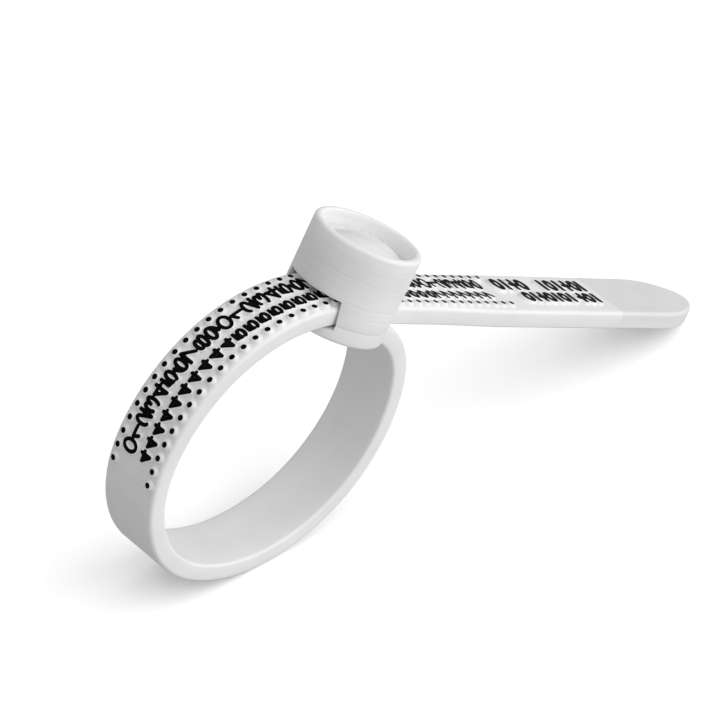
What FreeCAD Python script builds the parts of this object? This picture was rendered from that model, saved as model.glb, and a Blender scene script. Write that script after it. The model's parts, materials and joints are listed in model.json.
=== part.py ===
import FreeCAD, Part
import math
import os

# Ring sizing band: a numbered plastic strap that leaves a round head, bends round
# into a loop and comes back through a slot in the same head.
#
# Everything is first built in the strap's frame: X along the straight tail, Y across
# the strap, Z out of its numbered face, with the origin on that face in the middle of
# the head.  The finished pieces are then tipped about Y until the loop and the tail's
# tip both touch the ground, and moved so that the whole stands on Z = 0.

# ---- driving dimensions, millimetres and degrees ----
STRAP_WIDTH = 4.95
STRAP_THICKNESS = 1.40
TAIL_LENGTH = 42.5          # from the head's middle to the tip
TAIL_TIP_TAPER = 5.6        # length over which the tip rounds off
TAIL_FLARE_START = 9.5      # the tail widens a little between these two lengths
TAIL_FLARE_END = 16.0
TAIL_HALF_WIDTH = 2.72      # past the flare
TAIL_SET_START = 5.2        # the tail has a slight upward set from here on
TAIL_SET_ANGLE = 0.68

# Poles of the tip's curve after its shoulder: distance short of the tip, half width.
TIP_POLES = [(2.7, TAIL_HALF_WIDTH), (1.3, 1.75), (0.0, 1.1), (0.0, 0.0)]

# The loop is a run of arcs from the anchored end, listed as radius and turn.
# The two radii left as None are worked out so that the last arc ends in the slot.
LOOP_ARCS = [(6.63, 64.9), (11.03, 70.9), (None, 51.7), (9.26, 78.8), (None, 73.0), (14.42, 20.7)]
LOOP_START_X = 1.91         # where the anchored end starts to bend
ANCHOR_MID_Z = -1.95        # middle of the strap's thickness at its anchored end
LOOP_END_X = 0.0            # where the strap is straight again, inside the slot

# Stations of the link pivots, as strap length from the head's middle.
LINK_PIVOTS = [0.8, 4.8, 10.8, 16.8, 22.8, 28.8, 34.5, 40.0, 45.5, 51.0, 56.5]
ANCHOR_PIVOT_ANGLE = 21.5   # turn of the first arc at the anchored end's pivot
KNUCKLE_GAP = 0.06

TICK_PITCH = 1.0            # one ring size, 1 mm of inner circumference
TICK_FIRST = -21.3          # station of the smallest size's tick, on the loop
TICK_COUNT = 40
TICK_ROW_Y = 1.81
PIP_FOOT_RADIUS = 0.28
PIP_TOP_RADIUS = 0.17
PIP_HEIGHT = 0.22

HEAD_AXIS_X = 0.3
HEAD_RADIUS = 4.0
HEAD_TOP_RADIUS = 4.05
HEAD_TOP_Z = 4.38
PAD_BOTTOM_Z = -2.66
PAD_TOP_Z = -1.44           # the slot's floor, and the joint between pad and housing
SLOT_ROOF_Z = 0.29
SLOT_ROOF_HALF_WIDTH = 2.52
SLOT_FLOOR_HALF_WIDTH = 2.76
MOUTH_RELIEF_START_X = 0.5
MOUTH_RELIEF_RADIUS = 12.5

LENS_SEAT_RADIUS = 3.47
LENS_SEAT_Z = 2.0           # ledge that the lens stands on
LENS_RADIUS = 3.45
LENS_EDGE_Z = 2.75
LENS_CROWN_Z = 4.05
WINDOW_RADIUS = 2.9
RIM_OUTER_ROUND = 0.28
RIM_INNER_ROUND = 0.22

HALF_THICKNESS = STRAP_THICKNESS / 2.0
SLOT_MID_Z = -HALF_THICKNESS
SPAN = 30.0                 # longer than any cut needs to be


def solve_loop_radii():
    """Fill in the two free radii so that the arcs end level in the slot."""
    fixed_x = LOOP_START_X - LOOP_END_X
    fixed_z = ANCHOR_MID_Z - SLOT_MID_Z
    unknown = []
    turned = 0.0
    for radius, turn in LOOP_ARCS:
        start = math.radians(turned)
        turned += turn
        end = math.radians(turned)
        step_x = math.sin(end) - math.sin(start)
        step_z = math.cos(end) - math.cos(start)
        if radius is None:
            unknown.append((step_x, step_z))
        else:
            fixed_x += radius * step_x
            fixed_z += radius * step_z
    (ax, az), (bx, bz) = unknown
    det = ax * bz - az * bx
    solved = [(-fixed_x * bz + fixed_z * bx) / det, (-fixed_z * ax + fixed_x * az) / det]
    arcs = []
    for radius, turn in LOOP_ARCS:
        if radius is None:
            radius = solved.pop(0)
        arcs.append((radius, math.radians(turn)))
    return arcs


ARCS = solve_loop_radii()
LOOP_LENGTH = sum(radius * turn for radius, turn in ARCS)


def place_on_strap(station):
    """Return x, z and heading on the strap's middle line.

    The station is strap length from the slot: below zero on the straight tail,
    above zero on the loop.  The heading points towards the tail.
    """
    if station <= -TAIL_SET_START:
        rise = math.radians(TAIL_SET_ANGLE)
        beyond = -station - TAIL_SET_START
        return TAIL_SET_START + beyond * math.cos(rise), SLOT_MID_Z + beyond * math.sin(rise), -rise
    if station <= 0.0:
        return LOOP_END_X - station, SLOT_MID_Z, 0.0
    left = LOOP_LENGTH - station
    x = LOOP_START_X
    z = ANCHOR_MID_Z
    heading = 0.0
    for radius, turn in ARCS:
        part = min(turn, left / radius)
        x += radius * (math.sin(heading + part) - math.sin(heading))
        z += radius * (math.cos(heading + part) - math.cos(heading))
        heading += part
        left -= part * radius
        if left <= 1e-9:
            break
    return x, z, heading


def surface_point(station, lift):
    """A point above (+) or below (-) the middle line, on the strap's own normal."""
    x, z, heading = place_on_strap(station)
    return FreeCAD.Vector(x + lift * math.sin(heading), 0.0, z + lift * math.cos(heading))


def arc_ends():
    """Stations where one run of the strap meets the next."""
    ends = [-TAIL_SET_START, 0.0]
    station = LOOP_LENGTH
    for radius, turn in ARCS:
        ends.append(station)
        station -= radius * turn
    return sorted(ends)


def edge_along(first, last, lift):
    """Edges of one side of the strap between two stations."""
    stops = [first] + [s for s in arc_ends() if first + 1e-6 < s < last - 1e-6] + [last]
    stops = sorted(set(stops))
    edges = []
    for a, b in zip(stops[:-1], stops[1:]):
        start = surface_point(a, lift)
        end = surface_point(b, lift)
        if b <= 1e-6:
            edges.append(Part.LineSegment(start, end).toShape())
        else:
            middle = surface_point((a + b) / 2.0, lift)
            edges.append(Part.Arc(start, middle, end).toShape())
    return edges


def extrude_across(wire, width):
    """Extrude a profile drawn in the XZ plane, centred on Y = 0."""
    face = Part.Face(wire)
    face.translate(FreeCAD.Vector(0, -width / 2.0, 0))
    return face.extrude(FreeCAD.Vector(0, width, 0))


def strap_band(first, last, width=STRAP_WIDTH):
    """A plain length of strap between two stations."""
    outer = edge_along(first, last, HALF_THICKNESS)
    inner = edge_along(first, last, -HALF_THICKNESS)
    near_cap = Part.LineSegment(surface_point(first, -HALF_THICKNESS), surface_point(first, HALF_THICKNESS))
    far_cap = Part.LineSegment(surface_point(last, HALF_THICKNESS), surface_point(last, -HALF_THICKNESS))
    edges = Part.__sortEdges__(outer + inner + [near_cap.toShape(), far_cap.toShape()])
    return extrude_across(Part.Wire(edges), width)


def pivot_roller(station, radius, width):
    """A cylinder across the strap, centred on the pivot at a station."""
    centre = surface_point(station, 0.0)
    centre.y = -width / 2.0
    return Part.makeCylinder(radius, width, centre, FreeCAD.Vector(0, 1, 0))


def tick_stations(first, last):
    """Stations of the ticks that lie between two pivots."""
    stations = []
    for count in range(TICK_COUNT):
        station = -(TICK_FIRST + count * TICK_PITCH)
        if first <= station < last:
            stations.append(station)
    return stations


def with_pips(solid, first, last):
    """Add the two rows of raised tick pips between two stations."""
    pips = []
    for station in tick_stations(first, last):
        foot = surface_point(station, HALF_THICKNESS)
        normal = surface_point(station, HALF_THICKNESS + 1.0) - foot
        foot = foot - normal * 0.05
        for side in (-TICK_ROW_Y, TICK_ROW_Y):
            foot.y = side
            pips.append(Part.makeCone(PIP_FOOT_RADIUS, PIP_TOP_RADIUS, PIP_HEIGHT + 0.05, foot, normal))
    if pips:
        solid = solid.multiFuse(pips)
    return solid


def strap_link(first, last):
    """One short length of the loop: round at its tail end, hollowed at the other."""
    solid = strap_band(first, last)
    solid = solid.fuse(pivot_roller(first, HALF_THICKNESS, STRAP_WIDTH))
    solid = solid.cut(pivot_roller(last, HALF_THICKNESS + KNUCKLE_GAP, STRAP_WIDTH + 2.0))
    return with_pips(solid.removeSplitter(), first, last)


def strap_tail():
    """The straight end that is pulled, with its tip rounded in plan."""
    near = LINK_PIVOTS[0]
    root_half = STRAP_WIDTH / 2.0
    sides = [(-near, root_half), (TAIL_FLARE_START, root_half), (TAIL_FLARE_END, TAIL_HALF_WIDTH)]
    sides.append((TAIL_LENGTH - TAIL_TIP_TAPER, TAIL_HALF_WIDTH))
    edges = []
    for side in (1, -1):
        corners = [FreeCAD.Vector(x, side * y, 0) for x, y in sides]
        for a, b in zip(corners[:-1], corners[1:]):
            edges.append(Part.LineSegment(a, b).toShape())
        poles = [corners[-1]]
        for short, y in TIP_POLES:
            poles.append(FreeCAD.Vector(TAIL_LENGTH - short, side * y, 0))
        curve = Part.BezierCurve()
        curve.setPoles(poles)
        edges.append(curve.toShape())
    edges.append(Part.LineSegment(FreeCAD.Vector(-near, -root_half, 0), FreeCAD.Vector(-near, root_half, 0)).toShape())
    face = Part.Face(Part.Wire(Part.__sortEdges__(edges)))
    face.translate(FreeCAD.Vector(0, 0, -SPAN / 2.0))
    outline = face.extrude(FreeCAD.Vector(0, 0, SPAN))
    solid = strap_band(-TAIL_LENGTH - 1.0, near, 2.0 * STRAP_WIDTH).common(outline)
    solid = solid.cut(pivot_roller(near, HALF_THICKNESS + KNUCKLE_GAP, STRAP_WIDTH + 2.0))
    return with_pips(solid, -TAIL_LENGTH, near)


def head_disc(radius, top_radius, bottom, top):
    """A round stage of the head about its own axis."""
    base = FreeCAD.Vector(HEAD_AXIS_X, 0, bottom)
    up = FreeCAD.Vector(0, 0, 1)
    if abs(radius - top_radius) < 1e-9:
        return Part.makeCylinder(radius, top - bottom, base, up)
    return Part.makeCone(radius, top_radius, top - bottom, base, up)


def anchor_pivot_station():
    """Station of the pivot beside the pad, on the first arc of the loop."""
    return LOOP_LENGTH - ARCS[0][0] * math.radians(ANCHOR_PIVOT_ANGLE)


def strap_end_pad():
    """The strap's anchored end: a round pad that closes the head's underside."""
    pad = head_disc(HEAD_RADIUS, HEAD_RADIUS, PAD_BOTTOM_Z, PAD_TOP_Z)
    mouth_centre = FreeCAD.Vector(MOUTH_RELIEF_START_X, -SLOT_FLOOR_HALF_WIDTH, PAD_TOP_Z - MOUTH_RELIEF_RADIUS)
    roller = Part.makeCylinder(MOUTH_RELIEF_RADIUS, 2 * SLOT_FLOOR_HALF_WIDTH, mouth_centre, FreeCAD.Vector(0, 1, 0))
    corner = FreeCAD.Vector(MOUTH_RELIEF_START_X - SPAN, -SLOT_FLOOR_HALF_WIDTH, PAD_TOP_Z - MOUTH_RELIEF_RADIUS)
    block = Part.makeBox(SPAN, 2 * SLOT_FLOOR_HALF_WIDTH, MOUTH_RELIEF_RADIUS + 1.0, corner)
    pad = pad.cut(block.cut(roller))
    pivot = anchor_pivot_station()
    stub = strap_band(pivot, LOOP_LENGTH)
    pad = pad.multiFuse([stub, pivot_roller(pivot, HALF_THICKNESS, STRAP_WIDTH)])
    floor_corner = FreeCAD.Vector(-SPAN / 2.0, -SPAN / 2.0, PAD_TOP_Z)
    pad = pad.cut(Part.makeBox(SPAN, SPAN, SPAN, floor_corner))
    return pad.removeSplitter()


def slot_cutter():
    """The strap's way through the head: level roof, cheeks that spread downwards."""
    below = PAD_TOP_Z - 1.0
    slope = (SLOT_FLOOR_HALF_WIDTH - SLOT_ROOF_HALF_WIDTH) / (SLOT_ROOF_Z - PAD_TOP_Z)
    low = SLOT_FLOOR_HALF_WIDTH + slope
    corners = [(-SLOT_ROOF_HALF_WIDTH, SLOT_ROOF_Z), (SLOT_ROOF_HALF_WIDTH, SLOT_ROOF_Z), (low, below), (-low, below)]
    points = [FreeCAD.Vector(-SPAN / 2.0, y, z) for y, z in corners]
    face = Part.Face(Part.makePolygon(points + [points[0]]))
    return face.extrude(FreeCAD.Vector(SPAN, 0, 0))


def circle_edges_at(solid, height, radius):
    """Round edges of the head at one height and radius."""
    found = []
    for edge in solid.Edges:
        box = edge.BoundBox
        level = abs(box.ZMin - height) < 1e-4 and abs(box.ZMax - height) < 1e-4
        if level and hasattr(edge.Curve, "Radius") and abs(edge.Curve.Radius - radius) < 1e-4:
            found.append(edge)
    return found


def head_housing():
    """The upper shell: collar, lens seat, viewing window and the strap's slot."""
    shell = head_disc(HEAD_RADIUS, HEAD_TOP_RADIUS, PAD_TOP_Z, HEAD_TOP_Z)
    shell = shell.cut(head_disc(LENS_SEAT_RADIUS, LENS_SEAT_RADIUS, LENS_SEAT_Z, HEAD_TOP_Z + 1.0))
    shell = shell.makeFillet(RIM_OUTER_ROUND, circle_edges_at(shell, HEAD_TOP_Z, HEAD_TOP_RADIUS))
    shell = shell.makeFillet(RIM_INNER_ROUND, circle_edges_at(shell, HEAD_TOP_Z, LENS_SEAT_RADIUS))
    shell = shell.cut(head_disc(WINDOW_RADIUS, WINDOW_RADIUS, SLOT_ROOF_Z - 0.5, LENS_SEAT_Z + 0.5))
    return shell.cut(slot_cutter())


def magnifier_lens():
    """A plano-convex lens pressed into its seat, flat side down."""
    sag = LENS_CROWN_Z - LENS_EDGE_Z
    sphere_radius = (LENS_RADIUS ** 2 + sag ** 2) / (2.0 * sag)
    centre = FreeCAD.Vector(HEAD_AXIS_X, 0, LENS_CROWN_Z - sphere_radius)
    barrel = head_disc(LENS_RADIUS, LENS_RADIUS, LENS_SEAT_Z, LENS_CROWN_Z + 1.0)
    return barrel.common(Part.makeSphere(sphere_radius, centre))


def tip_angle():
    """Tilt about Y that brings the loop and the tail's tip down to one level."""
    turned = 0.0
    x = LOOP_START_X
    z = ANCHOR_MID_Z
    for radius, turn in ARCS[:2]:
        x += radius * (math.sin(turned + turn) - math.sin(turned))
        z += radius * (math.cos(turned + turn) - math.cos(turned))
        turned += turn
    radius = ARCS[2][0]
    centre_x = x - radius * math.sin(turned)
    centre_z = z - radius * math.cos(turned)
    tip = surface_point(-TAIL_LENGTH, -HALF_THICKNESS)
    reach = tip.x - centre_x
    rise = centre_z - tip.z
    return math.asin((radius + HALF_THICKNESS) / math.hypot(reach, rise)) - math.atan2(rise, reach)


def build_pieces():
    """Every piece of the band, by node name, in the strap's frame."""
    pieces = {"strap_end_pad": strap_end_pad()}
    pieces["head_housing"] = head_housing()
    pieces["magnifier_lens"] = magnifier_lens()
    pieces["strap_tail"] = strap_tail()
    stops = LINK_PIVOTS + [anchor_pivot_station()]
    for count, (first, last) in enumerate(zip(stops[:-1], stops[1:]), 1):
        pieces["strap_link_%02d" % count] = strap_link(first, last)
    return pieces


def stand_on_ground(pieces):
    """Tip all pieces together and centre them on the ground."""
    tilt = math.degrees(tip_angle())
    for solid in pieces.values():
        solid.rotate(FreeCAD.Vector(0, 0, 0), FreeCAD.Vector(0, 1, 0), tilt)
    whole = Part.makeCompound(list(pieces.values())).BoundBox
    shift = FreeCAD.Vector(-whole.Center.x, -whole.Center.y, -whole.ZMin)
    for solid in pieces.values():
        solid.translate(shift)
    print("tilt %.3f deg, shift %s, loop length %.3f mm" % (tilt, tuple(shift), LOOP_LENGTH))


def main():
    os.makedirs("parts", exist_ok=True)
    pieces = build_pieces()
    stand_on_ground(pieces)
    for name, solid in pieces.items():
        solid.exportStep("parts/%s.step" % name)
        print("%-16s solids %d volume %.3f valid %s" % (name, len(solid.Solids), solid.Volume, solid.isValid()))


main()
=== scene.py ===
import json
import math

import bmesh
import bpy
import numpy as np
from mathutils import Matrix, Vector

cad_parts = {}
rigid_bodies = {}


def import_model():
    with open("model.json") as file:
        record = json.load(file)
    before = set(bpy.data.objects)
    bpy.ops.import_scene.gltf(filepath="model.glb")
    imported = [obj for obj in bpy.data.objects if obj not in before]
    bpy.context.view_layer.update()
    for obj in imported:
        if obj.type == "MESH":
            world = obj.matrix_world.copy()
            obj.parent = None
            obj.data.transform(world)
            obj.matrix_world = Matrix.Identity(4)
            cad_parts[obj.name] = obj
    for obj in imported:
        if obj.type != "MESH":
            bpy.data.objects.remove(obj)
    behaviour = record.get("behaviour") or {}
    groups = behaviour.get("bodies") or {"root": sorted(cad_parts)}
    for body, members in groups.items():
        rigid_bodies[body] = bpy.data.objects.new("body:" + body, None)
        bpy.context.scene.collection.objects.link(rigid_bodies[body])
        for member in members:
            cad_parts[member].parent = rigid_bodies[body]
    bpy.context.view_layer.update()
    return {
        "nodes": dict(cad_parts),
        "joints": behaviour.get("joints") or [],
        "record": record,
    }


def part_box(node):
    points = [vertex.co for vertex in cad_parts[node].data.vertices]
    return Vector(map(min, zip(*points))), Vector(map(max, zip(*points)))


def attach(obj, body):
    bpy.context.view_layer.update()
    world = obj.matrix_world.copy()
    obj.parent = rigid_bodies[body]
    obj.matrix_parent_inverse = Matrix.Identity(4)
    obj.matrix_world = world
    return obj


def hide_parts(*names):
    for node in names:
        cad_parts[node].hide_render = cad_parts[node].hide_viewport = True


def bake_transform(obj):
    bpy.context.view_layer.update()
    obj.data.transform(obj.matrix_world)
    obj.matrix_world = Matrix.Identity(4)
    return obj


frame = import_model()


# ---- strap ----
# One long flexible moulding in white plastic.  It runs from the pad under the head,
# round the loop, through the head's slot and out as the straight tail.  Each length
# below covers one joint.  Lengths are in millimetres until they become points.
WIDTH = 4.95
THICKNESS = 1.40
TOP_ROUND = 0.30
BOTTOM_ROUND = 0.22
TAIL_LENGTH = 42.5
TAIL_FLARE = (9.5, 16.0)
TAIL_HALF_WIDTH = 2.72
TAIL_SET_START = 5.2
TAIL_SET = math.radians(0.68)
TIP_TAPER = 5.6
FIRST_PIVOT = 0.8
LOOP_ARCS = [(6.63, 64.9), (11.03, 70.9), (None, 51.7), (9.26, 78.8), (None, 73.0), (14.42, 20.7)]
LOOP_START = (1.91, -1.95)
BURIED_IN_SLOT = -1.2
BURIED_IN_PAD = 1.62
PRINT_FIRST = -31.0
PRINT_LAST = 21.8
PRINT_LIFT = 0.012
BARE_DEPTH = 0.12
TIP_ROUND_LENGTH = 1.9
TIP_ROUND_RISE = 0.95
FINE_STEP = 0.05
COARSE_STEP = 0.15

joints = {joint["name"]: joint for joint in frame["joints"]}
slide_axis = joints["strap_slide"]["axis"]
LEAN = math.atan2(-slide_axis[2], slide_axis[0])


def arc_step(start, turn):
    """Sine and cosine differences over an arc of unit radius."""
    return np.array([math.sin(start + turn) - math.sin(start), math.cos(start + turn) - math.cos(start)])


turns = [math.radians(turn) for _, turn in LOOP_ARCS]
starts = [sum(turns[:k]) for k in range(len(turns))]
steps = [arc_step(start, turn) for start, turn in zip(starts, turns)]
known = sum((radius * step for (radius, _), step in zip(LOOP_ARCS, steps) if radius), np.zeros(2))
free = np.array([step for (radius, _), step in zip(LOOP_ARCS, steps) if radius is None]).T
goal = np.array([0.0, -THICKNESS / 2]) - np.array(LOOP_START) - known
solved = list(np.linalg.solve(free, goal))
radii = np.array([radius if radius else solved.pop(0) for radius, _ in LOOP_ARCS])
arc_length = radii * np.array(turns)
LOOP_LENGTH = arc_length.sum()
arc_from = np.concatenate([[0.0], np.cumsum(arc_length)[:-1]])
corners = np.array(LOOP_START) + np.cumsum([[0.0, 0.0]] + [r * s for r, s in zip(radii, steps)], axis=0)


def on_strap(station, lift=0.0):
    """x and z in the strap's own frame.  Stations are lengths from the slot, negative on the tail."""
    station = np.asarray(station, float)
    along = np.clip(LOOP_LENGTH - station, 0.0, LOOP_LENGTH - 1e-9)
    index = np.searchsorted(arc_from, along, side="right") - 1
    heading = np.array(starts)[index] + (along - arc_from[index]) / radii[index]
    x = corners[index, 0] + radii[index] * (np.sin(heading) - np.sin(np.array(starts)[index]))
    z = corners[index, 1] + radii[index] * (np.cos(heading) - np.cos(np.array(starts)[index]))
    straight = station <= 0
    beyond = np.clip(-station - TAIL_SET_START, 0, None)
    x = np.where(straight, np.minimum(-station, TAIL_SET_START) + beyond * math.cos(TAIL_SET), x)
    z = np.where(straight, -THICKNESS / 2 + beyond * math.sin(TAIL_SET), z)
    heading = np.where(straight, np.where(beyond > 0, -TAIL_SET, 0.0), heading)
    return x + lift * np.sin(heading), z + lift * np.cos(heading)


def lean_over(x, y, z):
    """Strap frame in millimetres to row frame in metres, before the shift."""
    cos, sin = math.cos(LEAN), math.sin(LEAN)
    return np.stack([x * cos + z * sin, y + 0 * x, -x * sin + z * cos], axis=-1) / 1000


first_x, first_z = on_strap(FIRST_PIVOT)
SHIFT = np.array(joints["strap_bend_01"]["pos_m"]) - lean_over(first_x, 0.0, first_z)


def strap_point(station, across=0.0, lift=0.0):
    """Row-frame points, in metres, of places on the strap."""
    x, z = on_strap(station, lift)
    return lean_over(x, across, z) + SHIFT


survey = np.arange(-TAIL_LENGTH, LOOP_LENGTH, 0.02)
survey_points = strap_point(survey)


def nearest_station(point):
    """Station of the strap's middle line that is nearest to a row-frame point."""
    gap = survey_points - np.array(point)
    return float(survey[np.argmin(gap[:, 0] ** 2 + gap[:, 2] ** 2)])


def body_station(body):
    """Where a CAD body lies along the strap, for putting two bodies in order."""
    if body == "tail":
        return -TAIL_LENGTH
    if body == "head":
        return LOOP_LENGTH
    low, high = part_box(frame["record"]["behaviour"]["bodies"][body][0])
    return nearest_station((low + high) / 2)


hinges = []
for joint in frame["joints"]:
    if joint["type"] == "hinge":
        pair = sorted((joint["parent"], joint["child"]), key=body_station)
        hinges.append((nearest_station(joint["pos_m"]), pair[0], pair[1]))
hinges.sort()


def ring_profile(columns):
    """The strap's cross-section as side, inset from the outline, share of the width, and lift."""
    top = [(f, TOP_ROUND, abs(f), THICKNESS / 2) for f in np.linspace(-1, 1, columns)]
    turn = np.linspace(0, math.pi / 2, 6)
    high, low = [], []
    for angle in turn[1:]:
        high.append((TOP_ROUND * (1 - math.sin(angle)), THICKNESS / 2 - TOP_ROUND * (1 - math.cos(angle))))
    for angle in turn:
        rise = BOTTOM_ROUND * (1 - math.sin(angle))
        low.append((BOTTOM_ROUND * (1 - math.cos(angle)), -THICKNESS / 2 + rise))
    right = [(1, inset, 1.0, lift) for inset, lift in high + low]
    left = [(-1, inset, 1.0, lift) for inset, lift in reversed(high + low)]
    under = [(f, BOTTOM_ROUND, abs(f), -THICKNESS / 2) for f in np.linspace(1, -1, 8)[1:-1]]
    return np.array(top + right + under + left)


def closed_tube(grid):
    """Faces of a tube of rings with both ends capped, as index lists."""
    rings, points = grid
    index = np.arange(rings * points).reshape(rings, points)
    a, b = index[:-1], index[1:]
    quads = np.stack([a, np.roll(a, -1, 1), np.roll(b, -1, 1), b], -1).reshape(-1, 4)
    return quads.tolist() + [index[0, ::-1].tolist(), index[-1].tolist()]


def make_object(name, points, faces, material, smooth=True):
    """A mesh object from row-frame points, with faces turned outwards."""
    mesh = bpy.data.meshes.new(name)
    mesh.from_pydata(points, [], faces)
    work = bmesh.new()
    work.from_mesh(mesh)
    bmesh.ops.remove_doubles(work, verts=work.verts, dist=2e-8)
    bmesh.ops.dissolve_degenerate(work, edges=work.edges, dist=1e-8)
    bmesh.ops.recalc_face_normals(work, faces=work.faces)
    for face in work.faces:
        face.smooth = smooth and len(face.verts) <= 4
    for edge in work.edges:
        if len(edge.link_faces) == 2 and edge.calc_face_angle(0.0) > math.radians(38):
            edge.smooth = False
    work.to_mesh(mesh)
    work.free()
    mesh.materials.append(material)
    item = bpy.data.objects.new(name, mesh)
    bpy.context.scene.collection.objects.link(item)
    return item


def new_material(name):
    """An empty node material with its output, returned with its tree."""
    material = bpy.data.materials.new(name)
    material.use_nodes = True
    tree = material.node_tree
    tree.nodes.clear()
    output = tree.nodes.new("ShaderNodeOutputMaterial")
    shader = tree.nodes.new("ShaderNodeBsdfPrincipled")
    tree.links.new(shader.outputs["BSDF"], output.inputs["Surface"])
    return material, tree, shader


def node(tree, kind, inputs=None, **settings):
    """A node with its settings and its unlinked inputs."""
    made = tree.nodes.new(kind)
    for key, value in settings.items():
        setattr(made, key, value)
    for key, value in (inputs or {}).items():
        if isinstance(value, bpy.types.NodeSocket):
            tree.links.new(value, made.inputs[key])
        else:
            made.inputs[key].default_value = value
    return made


def noise(tree, vector, scale, detail):
    """A noise value over a vector."""
    inputs = {"Vector": vector, "Scale": scale, "Detail": detail}
    return node(tree, "ShaderNodeTexNoise", inputs).outputs["Fac"]


def spread(tree, value, low, high, start=0.3, stop=0.7):
    """A value mapped from start..stop to low..high."""
    inputs = {"Value": value, "From Min": start, "From Max": stop, "To Min": low, "To Max": high}
    return node(tree, "ShaderNodeMapRange", inputs).outputs["Result"]


def bump(tree, height, strength, distance, normal=None):
    """A bump over another normal."""
    inputs = {"Strength": strength, "Distance": distance, "Height": height}
    if normal:
        inputs["Normal"] = normal
    return node(tree, "ShaderNodeBump", inputs).outputs["Normal"]


# The skin of moulded white plastic: faint cloudiness, fine grain and slow flow waves.
skin = bpy.data.node_groups.new("moulded_skin", "ShaderNodeTree")
SKIN_INPUTS = (("Color", "NodeSocketColor", (0.8, 0.8, 0.8, 1)), ("Grain", "NodeSocketFloat", 0.3))
SKIN_OUTPUTS = (("Color", "NodeSocketColor"), ("Roughness", "NodeSocketFloat"), ("Normal", "NodeSocketVector"))
for label, kind, value in SKIN_INPUTS:
    socket = skin.interface.new_socket(name=label, in_out="INPUT", socket_type=kind)
    socket.default_value = value
for label, kind in SKIN_OUTPUTS:
    skin.interface.new_socket(name=label, in_out="OUTPUT", socket_type=kind)
skin_in = skin.nodes.new("NodeGroupInput")
skin_out = skin.nodes.new("NodeGroupOutput")
place = node(skin, "ShaderNodeTexCoord").outputs["Object"]
cloud = noise(skin, place, 320.0, 3.0)
grain = noise(skin, place, 9000.0, 2.0)
waves = noise(skin, place, 900.0, 1.0)
tinted = node(skin, "ShaderNodeVectorMath", {0: skin_in.outputs["Color"]}, operation="SCALE")
skin.links.new(spread(skin, cloud, 0.975, 1.02), tinted.inputs["Scale"])
rough = spread(skin, cloud, 0.36, 0.46)
slow = bump(skin, waves, 0.15, 0.00002)
fine = bump(skin, grain, skin_in.outputs["Grain"], 0.000006, slow)
skin.links.new(tinted.outputs["Vector"], skin_out.inputs["Color"])
skin.links.new(rough, skin_out.inputs["Roughness"])
skin.links.new(fine, skin_out.inputs["Normal"])

strap_plastic, tree, shader = new_material("strap_plastic")
bare = node(tree, "ShaderNodeAttribute", attribute_name="bare_top")
tones = {"Factor": bare.outputs["Fac"], "A": (0.87, 0.87, 0.87, 1), "B": (0.77, 0.77, 0.775, 1)}
base = node(tree, "ShaderNodeMix", tones, data_type="RGBA")
look = node(tree, "ShaderNodeGroup", node_tree=skin)
tree.links.new(base.outputs["Result"], look.inputs["Color"])
look.inputs["Grain"].default_value = 0.35
for label, target in (("Color", "Base Color"), ("Roughness", "Roughness"), ("Normal", "Normal")):
    tree.links.new(look.outputs[label], shader.inputs[target])
shader.inputs["Specular IOR Level"].default_value = 0.45


def arc(cx, cy, rx, ry, start, end, count=12):
    """Points of an elliptical arc in the unit box, angles in degrees."""
    turn = np.radians(np.linspace(start, end, count))
    return [(cx + rx * math.cos(a), cy + ry * math.sin(a)) for a in turn]


# Digits as centre lines in a unit box, right and up.
SIX = [arc(0.5, 0.32, 0.5, 0.32, 0, 360, 17), arc(0.8, 0.32, 0.8, 0.68, 180, 100, 7)]
DIGITS = {
    "0": [arc(0.5, 0.5, 0.5, 0.5, 0, 360, 19)],
    "1": [[(0.18, 0.70), (0.58, 1.0), (0.58, 0.0)]],
    "2": [arc(0.5, 0.70, 0.46, 0.30, 170, -38, 10) + [(0.0, 0.0), (1.0, 0.0)]],
    "3": [arc(0.47, 0.74, 0.42, 0.26, 150, -80, 9), arc(0.47, 0.25, 0.50, 0.25, 84, -150, 10)],
    "4": [[(0.73, 0.0), (0.73, 1.0), (0.0, 0.28), (1.0, 0.28)]],
    "5": [[(0.92, 1.0), (0.20, 1.0), (0.10, 0.50)] + arc(0.48, 0.31, 0.50, 0.31, 140, -150, 11)],
    "6": SIX,
    "7": [[(0.0, 1.0), (1.0, 1.0), (0.35, 0.0)]],
    "8": [arc(0.5, 0.75, 0.40, 0.25, 0, 360, 15), arc(0.5, 0.26, 0.50, 0.26, 0, 360, 17)],
    "9": [[(1 - x, 1 - y) for x, y in line] for line in SIX],
}
STROKE_HALF = 0.135
STROKE_FOOT = 0.27
MARK_HEIGHT = 0.20
PIP_HALF = 0.20
PIP_FOOT = 0.43


def lines_to_marks(lines, station, across, wide, tall):
    """Segments of a glyph placed on the strap: station, across, station, across."""
    marks = []
    for line in lines:
        placed = [(station + (v - 0.5) * tall, across + (u - 0.5) * wide) for u, v in line]
        marks += [(*a, *b) for a, b in zip(placed[:-1], placed[1:])]
    return marks


marks = []
for number in range(40, 77):
    tens, units = str(number)
    centre = 59.8 - number
    marks.append((lines_to_marks(DIGITS[tens], centre, -0.80, 0.80, 0.67), STROKE_HALF, STROKE_FOOT))
    marks.append((lines_to_marks(DIGITS[units], centre, 0.76, 1.12, 0.76), STROKE_HALF, STROKE_FOOT))
for count in range(40):
    for side in (-1.81, 1.81):
        at = 21.3 - count
        marks.append(([(at, side, at, side)], PIP_HALF, PIP_FOOT))

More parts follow.
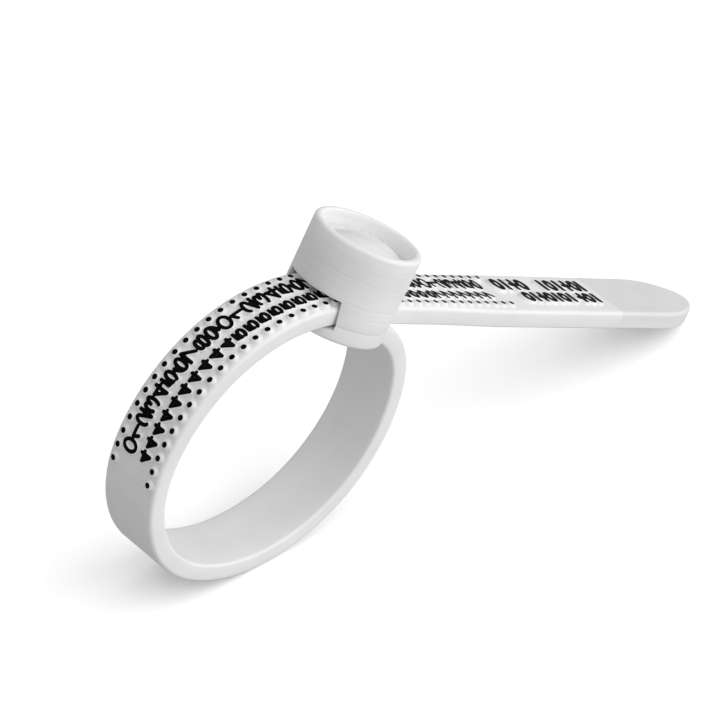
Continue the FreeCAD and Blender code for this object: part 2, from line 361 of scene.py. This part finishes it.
# Plain bars and rings on the tail, past the numbers.
BAR = [[(0.5, 0.0), (0.5, 1.0)]]
RING = DIGITS["0"]
DASH = [[(0.0, 0.5), (1.0, 0.5)]]
TAIL_ROWS = (
    (0.85, 1.15, [19.0, 20.0, 21.0, 22.0, 24.6, 25.6, 26.6, 27.6, 28.6, 29.4]),
    (-0.85, 0.95, [20.9, 21.8, 22.7, 23.6, 24.5, 25.4, 26.3, 27.6, 28.5, 29.4]),
)
for across, wide, places in TAIL_ROWS:
    for count, at in enumerate(places):
        shape = (RING, DASH, BAR + DASH, RING, DASH)[count % 5]
        marks.append((lines_to_marks(shape, -at, across, wide, 0.66), 0.21, 0.33))


def relief(station, across):
    """Height of the raised marks over a grid, and distance outside their flat tops."""
    height = np.zeros_like(station)
    outside = np.full_like(station, 9.0)
    for segments, half, foot in marks:
        area = np.array(segments).reshape(-1, 2)
        low, high = area.min(0) - foot, area.max(0) + foot
        rows = np.nonzero(np.any((station >= low[0]) & (station <= high[0]), axis=1))[0]
        cols = np.nonzero(np.any((across >= low[1]) & (across <= high[1]), axis=0))[0]
        if len(rows) == 0 or len(cols) == 0:
            continue
        part = np.ix_(rows, cols)
        s, y = station[part], across[part]
        near = np.full_like(s, 9.0)
        for s0, y0, s1, y1 in segments:
            ds, dy = s1 - s0, y1 - y0
            t = np.clip(((s - s0) * ds + (y - y0) * dy) / max(ds * ds + dy * dy, 1e-12), 0, 1)
            near = np.minimum(near, np.hypot(s - s0 - t * ds, y - y0 - t * dy))
        flank = np.clip((near - half) / (foot - half), 0, 1)
        height[part] = np.maximum(height[part], MARK_HEIGHT * (1 - flank ** 2) ** 1.5)
        outside[part] = np.minimum(outside[part], near - half)
    return height, outside


def tip_outline():
    """Tail tip outline in plan: distance from the head, half width, outward normal."""
    shoulder = TAIL_LENGTH - TIP_TAPER
    end = TAIL_LENGTH
    poles = [(shoulder, TAIL_HALF_WIDTH), (end - 2.7, TAIL_HALF_WIDTH), (end - 1.3, 1.75), (end, 1.1), (end, 0.0)]
    poles = np.array(poles)
    t = np.linspace(0, 1, 61)[:, None]
    weights = np.hstack([math.comb(4, k) * t ** k * (1 - t) ** (4 - k) for k in range(5)])
    curve = weights @ poles
    slopes = np.hstack([math.comb(3, k) * t ** k * (1 - t) ** (3 - k) for k in range(4)]) @ np.diff(poles, axis=0)
    slopes /= np.linalg.norm(slopes, axis=1)[:, None]
    return curve, np.stack([-slopes[:, 1], slopes[:, 0]], axis=1)


def stations_between(first, last):
    """Ring stations: close together under the marks, wider apart elsewhere."""
    cuts = [first] + [c for c in (PRINT_FIRST, PRINT_LAST) if first < c < last] + [last]
    rows = []
    for a, b in zip(cuts[:-1], cuts[1:]):
        marked = a >= PRINT_FIRST - 1e-9 and b <= PRINT_LAST + 1e-9
        step = FINE_STEP if marked else COARSE_STEP
        rows.append(np.linspace(a, b, max(2, int(round((b - a) / step)) + 1)))
        if not marked:
            rows.append(np.array([b - 0.02 if b == PRINT_FIRST else a + 0.02]))
    return np.unique(np.round(np.concatenate(rows), 6))


def strap_length(name, first, last, tip=False):
    """One length of strap as a closed mesh, and the foil on the marks it carries."""
    stations = stations_between(first, last)
    half = np.interp(-stations, TAIL_FLARE, (WIDTH / 2, TAIL_HALF_WIDTH))
    normal = np.tile([0.0, 1.0], (len(stations), 1))
    if tip:
        curve, outward = tip_outline()
        straight = stations[stations > TIP_TAPER - TAIL_LENGTH + 1e-6]
        stations = np.concatenate([-curve[::-1, 0], straight])
        half = np.concatenate([curve[::-1, 1], half[len(half) - len(stations) + len(curve):]])
        normal = np.concatenate([outward[::-1], normal[: len(stations) - len(curve)]])
    marked = last > PRINT_FIRST and first < PRINT_LAST
    columns = 86 if marked else 16
    side, inset, share, lift = ring_profile(columns).T
    across = np.sign(side) * share * (half[:, None] - inset * normal[:, 1:2])
    station = stations[:, None] + inset * normal[:, 0:1]
    raised, outside = relief(station, across) if marked else (0 * station, 9 + 0 * station)
    upper = lift > THICKNESS / 2 - TOP_ROUND - 1e-6
    printed = (station >= PRINT_FIRST - 1e-6) & upper & (np.abs(across) < WIDTH / 2 - 0.12)
    height = np.where(upper, raised, 0.0) + PRINT_LIFT * (printed & (station <= PRINT_LAST + 1e-6))
    near_tip = np.clip((TIP_ROUND_LENGTH - TAIL_LENGTH - station) / TIP_ROUND_LENGTH, 0, 1)
    rise = TIP_ROUND_RISE * (1 - np.sqrt(1 - near_tip ** 2)) * (THICKNESS / 2 - lift) / THICKNESS
    points = strap_point(station, across, lift + height + rise)
    item = make_object(name, points.reshape(-1, 3).tolist(), closed_tube(station.shape), strap_plastic)
    co = np.zeros(len(item.data.vertices) * 3)
    item.data.vertices.foreach_get("co", co)
    x, _, z = (co.reshape(-1, 3) - SHIFT).T * 1000
    along = x * math.cos(LEAN) - z * math.sin(LEAN)
    high = x * math.sin(LEAN) + z * math.cos(LEAN)
    bare = (along > -PRINT_FIRST + 0.001) & (high > -BARE_DEPTH)
    item.data.attributes.new("bare_top", "FLOAT", "POINT").data.foreach_set("value", bare.astype(np.float32))
    foil = None
    if marked and outside[:, :columns].min() < 0:
        topside = [grid[:, :columns] for grid in (station, across, outside)]
        foil = foil_on(name.replace("strap", "foil"), *topside)
    return item, foil


# ---- foil on the marks ----
# Black hot-stamped foil on the flat tops of the raised digits, ticks and tail marks.
# Each length of strap carries its own, as a thin closed layer that is sunk a little
# into the plastic and follows its curve.
FOIL_LIFT = 0.010
FOIL_SUNK = 0.05
marking_ink, tree, shader = new_material("marking_ink")
wear = noise(tree, node(tree, "ShaderNodeTexCoord").outputs["Object"], 5200.0, 3.0)
ink = spread(tree, wear, 0.001, 0.006, 0.35, 0.75)
dark = node(tree, "ShaderNodeCombineColor", {"Red": ink, "Green": ink, "Blue": ink})
tree.links.new(dark.outputs["Color"], shader.inputs["Base Color"])
tree.links.new(spread(tree, wear, 0.30, 0.48), shader.inputs["Roughness"])
tree.links.new(bump(tree, wear, 0.3, 0.00001), shader.inputs["Normal"])
shader.inputs["Specular IOR Level"].default_value = 0.03


def foil_on(name, station, across, outside):
    """A thin closed layer over the part of a grid where outside is below zero."""
    value = np.where(np.abs(outside) < 1e-4, 1e-4, outside)
    touched = value < 0
    cells = touched[:-1, :-1] | touched[1:, :-1] | touched[:-1, 1:] | touched[1:, 1:]
    keys, plan, polygons = {}, [], []

    def corner(i, j):
        if (i, j) not in keys:
            keys[(i, j)] = len(plan)
            plan.append((station[i, j], across[i, j]))
        return keys[(i, j)]

    def crossing(a, b):
        a, b = min(a, b), max(a, b)
        if (a, b) not in keys:
            t = value[a] / (value[a] - value[b])
            keys[(a, b)] = len(plan)
            along, aside = station[b] - station[a], across[b] - across[a]
            plan.append((station[a] + t * along, across[a] + t * aside))
        return keys[(a, b)]

    for i, j in zip(*np.nonzero(cells)):
        ring = [(i, j), (i, j + 1), (i + 1, j + 1), (i + 1, j)]
        polygon = []
        for a, b in zip(ring, ring[1:] + ring[:1]):
            if value[a] < 0:
                polygon.append(corner(*a))
            if (value[a] < 0) != (value[b] < 0):
                polygon.append(crossing(a, b))
        polygons.append(polygon)
    count = len(plan)
    s, y = np.array(plan).T
    base = THICKNESS / 2 + PRINT_LIFT + MARK_HEIGHT
    points = np.concatenate([strap_point(s, y, base + FOIL_LIFT), strap_point(s, y, base - FOIL_SUNK)])
    edges = {(a, b) for polygon in polygons for a, b in zip(polygon, polygon[1:] + polygon[:1])}
    walls = [[a, b, b + count, a + count] for a, b in edges if (b, a) not in edges]
    under = [[v + count for v in reversed(polygon)] for polygon in polygons]
    return make_object(name, points.tolist(), polygons + under + walls, marking_ink, smooth=False)


# The lengths of strap, each over one joint, and the whole rigid tail.
tail, tail_foil = strap_length("strap_tail_length", -TAIL_LENGTH, BURIED_IN_SLOT, tip=True)
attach(tail, "tail")
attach(tail_foil, "tail")
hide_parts("strap_tail")
pivots = [hinge[0] for hinge in hinges]
halfway = [(a + b) / 2 for a, b in zip(pivots[:-1], pivots[1:])]
ends = [BURIED_IN_SLOT] + halfway + [LOOP_LENGTH - BURIED_IN_PAD]
for count, (pivot, tail_side, pad_side) in enumerate(hinges):
    first, last = ends[count], ends[count + 1]
    length, foil = strap_length("strap_length_%02d" % (count + 1), first, last)
    for item, slot_name in ((length, "strap_plastic"), (foil, "marking_ink")):
        if item:
            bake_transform(item)
links = [name for name in frame["nodes"] if name.startswith("strap_link_")]
for name in links:
    low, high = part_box(name)
    at = nearest_station((low + high) / 2)
    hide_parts(name)


# ---- head housing ----
# The round collar over the strap, one moulding in white plastic.  It was finished on
# a lathe-cut mould, which leaves fine level lines.  The slot is cut straight through.
HEAD_X = 0.3
HEAD_RADIUS = 4.0
HEAD_BOTTOM = -1.44
SEAT_RADIUS = 3.47
SEAT_Z = 2.0
WINDOW_RADIUS = 2.9
ROOF_Z = 0.29
ROOF_HALF = 2.52
FLOOR_HALF_WIDTH = 2.76
SLOT_REACH = 9.0
SEGMENTS = 144


def head_point(radius, angle, z):
    """Row-frame point at a radius and angle about the head's own axis."""
    x = HEAD_X + radius * math.cos(angle)
    return (lean_over(np.array(x), radius * math.sin(angle), np.array(z)) + SHIFT).tolist()


def lathe(name, outline, material):
    """A body of revolution about the head's axis, from axis to axis or round a closed ring."""
    closed = outline[0][0] > 1e-9
    points, faces = [], []
    for radius, z in outline:
        points += [head_point(radius, 2 * math.pi * k / SEGMENTS, z) for k in range(SEGMENTS)]
    rows = len(outline)
    for row in range(rows if closed else rows - 1):
        a, b = row * SEGMENTS, (row + 1) % rows * SEGMENTS
        for k in range(SEGMENTS):
            n = (k + 1) % SEGMENTS
            faces.append([a + k, a + n, b + n, b + k])
    return make_object(name, points, faces, material)


def round_corner(centre, radius, start, end, count=6):
    """Outline points of a rounded corner, angles in degrees."""
    turn = np.radians(np.linspace(start, end, count))
    return [(centre[0] + radius * math.cos(a), centre[1] + radius * math.sin(a)) for a in turn]


def slab(name, corners_xz, material):
    """A prism across the strap from strap-frame corners: x, z and half width."""
    points = []
    for x, z, half in corners_xz:
        for y in (-half, half):
            points.append((lean_over(np.array(x), y, np.array(z)) + SHIFT).tolist())
    count = len(corners_xz)
    faces = [[2 * k, 2 * k + 1, 2 * ((k + 1) % count) + 1, 2 * ((k + 1) % count)] for k in range(count)]
    faces += [[2 * k for k in range(count)], [2 * k + 1 for k in reversed(range(count))]]
    return make_object(name, points, faces, material)


def carve(item, cutter):
    """Cut one mesh out of another and drop the cutter."""
    modifier = item.modifiers.new("cut", "BOOLEAN")
    modifier.operation = "DIFFERENCE"
    modifier.solver = "EXACT"
    modifier.object = cutter
    graph = bpy.context.evaluated_depsgraph_get()
    graph.update()
    mesh = bpy.data.meshes.new_from_object(item.evaluated_get(graph))
    item.modifiers.clear()
    item.data = mesh
    bpy.data.objects.remove(cutter)
    work = bmesh.new()
    work.from_mesh(mesh)
    for edge in work.edges:
        edge.smooth = not (len(edge.link_faces) == 2 and edge.calc_face_angle(0.0) > math.radians(32))
    for face in work.faces:
        face.smooth = True
    work.to_mesh(mesh)
    work.free()


head_plastic, tree, shader = new_material("head_plastic")
place = node(tree, "ShaderNodeTexCoord").outputs["Object"]
turned = {"Vector": place, "Rotation": (0.0, -LEAN, 0.0)}
level = node(tree, "ShaderNodeMapping", turned).outputs["Vector"]


def level_lines(scale, detail):
    """Noise drawn out level round the head."""
    drawn = node(tree, "ShaderNodeMapping", {"Vector": level, "Scale": scale}).outputs["Vector"]
    return noise(tree, drawn, 1.0, detail)


look = node(tree, "ShaderNodeGroup", {"Color": (0.88, 0.88, 0.88, 1), "Grain": 0.25}, node_tree=skin)
tool = bump(tree, level_lines((140.0, 140.0, 7000.0), 2.0), 0.9, 0.00004, look.outputs["Normal"])
tool_broad = bump(tree, level_lines((60.0, 60.0, 1500.0), 1.0), 0.45, 0.00006, tool)
tree.links.new(look.outputs["Color"], shader.inputs["Base Color"])
tree.links.new(look.outputs["Roughness"], shader.inputs["Roughness"])
tree.links.new(tool_broad, shader.inputs["Normal"])
shader.inputs["Subsurface Weight"].default_value = 0.35
shader.inputs["Subsurface Radius"].default_value = (1.0, 1.0, 1.0)
shader.inputs["Subsurface Scale"].default_value = 0.0012

outline = [(HEAD_RADIUS, HEAD_BOTTOM), (HEAD_RADIUS, -1.0), (4.02, 1.5), (4.05, 4.08)]
outline += round_corner((3.77, 4.10), 0.28, 0, 90)
outline += round_corner((3.69, 4.16), 0.22, 90, 180)
outline += [(SEAT_RADIUS, SEAT_Z), (3.4, SEAT_Z)]
outline += [(WINDOW_RADIUS, z) for z in (SEAT_Z, 1.9, -0.2, HEAD_BOTTOM)]
housing = lathe("head_collar", outline, head_plastic)
low_half = FLOOR_HALF_WIDTH + (FLOOR_HALF_WIDTH - ROOF_HALF) / (ROOF_Z - HEAD_BOTTOM)
low_z = HEAD_BOTTOM - 1.0
slot_shape = [(-SLOT_REACH, ROOF_Z, ROOF_HALF), (SLOT_REACH, ROOF_Z, ROOF_HALF)]
slot_shape += [(SLOT_REACH, low_z, low_half), (-SLOT_REACH, low_z, low_half)]
carve(housing, slab("slot_tool", slot_shape, head_plastic))
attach(housing, "head")
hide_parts("head_housing")


# ---- end pad ----
# The strap's anchored end is moulded as a round pad that closes the underside of the
# head.  It is bonded to the collar along a level joint.
PAD_BOTTOM = -2.66
PAD_TOP = -1.445
RELIEF_FROM, RELIEF_TO = 0.5, -5.5
RELIEF_RADIUS = 12.5
outline = [(0.0, PAD_BOTTOM), (3.4, PAD_BOTTOM)] + round_corner((3.70, -2.36), 0.30, -90, 0)
outline += [(HEAD_RADIUS, -1.6)] + round_corner((3.96, -1.485), 0.04, 0, 90, 4) + [(0.0, PAD_TOP)]
pad = lathe("end_pad", outline, strap_plastic)
relief_shape = []
for x in np.linspace(RELIEF_TO, RELIEF_FROM, 24):
    z = PAD_TOP - RELIEF_RADIUS + math.sqrt(RELIEF_RADIUS ** 2 - (x - RELIEF_FROM) ** 2)
    relief_shape.append((x, z, FLOOR_HALF_WIDTH))
relief_shape += [(x, 1.0, FLOOR_HALF_WIDTH) for x in (RELIEF_FROM, RELIEF_TO)]
carve(pad, slab("mouth_tool", relief_shape, strap_plastic))
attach(pad, "head")
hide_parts("strap_end_pad")


# ---- lens ----
# A small plano-convex magnifier in clear acrylic, polished, pressed into the collar
# with its flat side down so that one number shows through the window.
lens_material, tree, shader = new_material("lens")
haze = noise(tree, node(tree, "ShaderNodeTexCoord").outputs["Object"], 700.0, 2.0)
tree.links.new(spread(tree, haze, 0.03, 0.09), shader.inputs["Roughness"])
shader.inputs["Base Color"].default_value = (0.97, 0.97, 0.97, 1)
shader.inputs["Transmission Weight"].default_value = 0.12
shader.inputs["Subsurface Weight"].default_value = 0.5
shader.inputs["Subsurface Radius"].default_value = (1.0, 1.0, 1.0)
shader.inputs["Subsurface Scale"].default_value = 0.0015
shader.inputs["IOR"].default_value = 1.49
LENS_RADIUS = 3.56
LENS_CROWN = 4.12
LENS_SHOULDER = 2.93
sag = LENS_CROWN - LENS_SHOULDER
ball = (LENS_RADIUS ** 2 + sag ** 2) / (2 * sag)
half_angle = math.degrees(math.asin(LENS_RADIUS / ball))
outline = [(0.0, SEAT_Z), (LENS_RADIUS, SEAT_Z), (LENS_RADIUS, 2.5)]
outline += round_corner((0.0, LENS_CROWN - ball), ball, 90 - half_angle, 90, 24)
outline[-1] = (0.0, LENS_CROWN)
lens = lathe("magnifier", outline, lens_material)
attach(lens, "head")
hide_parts("magnifier_lens")


# ---- floor, light and camera ----
# A pale seamless table, a bright room that is stronger from above and from the front
# right, and a long lens.
floor_material, tree, shader = new_material("floor")
tree.nodes.remove(shader)
path = node(tree, "ShaderNodeLightPath")
paper = noise(tree, node(tree, "ShaderNodeTexCoord").outputs["Object"], 60.0, 3.0)
seen_floor = {"Factor": path.outputs["Is Camera Ray"], "A": 0.60, "B": 1.42}
gain = node(tree, "ShaderNodeMix", seen_floor, data_type="FLOAT")
paper_tone = spread(tree, paper, 0.985, 1.015, 0.0, 1.0)
shade = node(tree, "ShaderNodeMath", {0: gain.outputs["Result"], 1: paper_tone}, operation="MULTIPLY")
matt = node(tree, "ShaderNodeBsdfDiffuse", {"Color": shade.outputs["Value"]})
tree.links.new(matt.outputs["BSDF"], tree.nodes["Material Output"].inputs["Surface"])
FLOOR_REACH = 0.8
floor_corners = [(x * FLOOR_REACH, y * FLOOR_REACH, 0) for x, y in ((-1, -1), (1, -1), (1, 1), (-1, 1))]
floor = make_object("floor", floor_corners, [[0, 1, 2, 3]], floor_material)

world = bpy.data.worlds.new("room")
bpy.context.scene.world = world
world.use_nodes = True
tree = world.node_tree
tree.nodes.clear()
output = node(tree, "ShaderNodeOutputWorld")
place = node(tree, "ShaderNodeTexCoord")
path = node(tree, "ShaderNodeLightPath")
LIGHTS = (((-0.20, 0.06, 1.00), 2.0, 0.90), ((0.64, -0.77, 0.06), 1.7, 2.15))
AMBIENT = 0.07


def combine(operation, first, second):
    """A math node's value."""
    return node(tree, "ShaderNodeMath", {0: first, 1: second}, operation=operation).outputs["Value"]


total = AMBIENT
for direction, power, amount in LIGHTS:
    toward = tuple(Vector(direction).normalized())
    facing = {0: place.outputs["Generated"], 1: toward}
    dot = node(tree, "ShaderNodeVectorMath", facing, operation="DOT_PRODUCT").outputs["Value"]
    shaped = combine("POWER", combine("MAXIMUM", dot, 0.0), power)
    total = combine("ADD", combine("MULTIPLY", shaped, amount), total)
seen_room = {"Factor": path.outputs["Is Camera Ray"], "A": total, "B": 1.0}
seen = node(tree, "ShaderNodeMix", seen_room, data_type="FLOAT")
back = node(tree, "ShaderNodeBackground", {"Color": (1, 1, 1, 1), "Strength": seen.outputs["Result"]})
tree.links.new(back.outputs["Background"], output.inputs["Surface"])
bpy.context.scene.view_settings.view_transform = "Standard"

CAMERA_AT = Vector((-0.1719108, -0.156720, 0.1997451))
FORWARD = Vector((0.55951738, 0.53179, -0.63572415)).normalized()
RIGHT = Vector((0.73693517, -0.6697, 0.08840644))
RIGHT = (RIGHT - RIGHT.dot(FORWARD) * FORWARD).normalized()
UP = RIGHT.cross(FORWARD)
camera = bpy.data.objects.new("camera", bpy.data.cameras.new("camera"))
camera.data.lens = 208.6
camera.data.sensor_width = 36.0
camera.data.clip_start = 0.02
camera.data.clip_end = 5.0
turn = Matrix((RIGHT, UP, -FORWARD)).transposed().to_4x4()
camera.matrix_world = Matrix.Translation(CAMERA_AT) @ turn
bpy.context.scene.collection.objects.link(camera)
bpy.context.scene.camera = camera
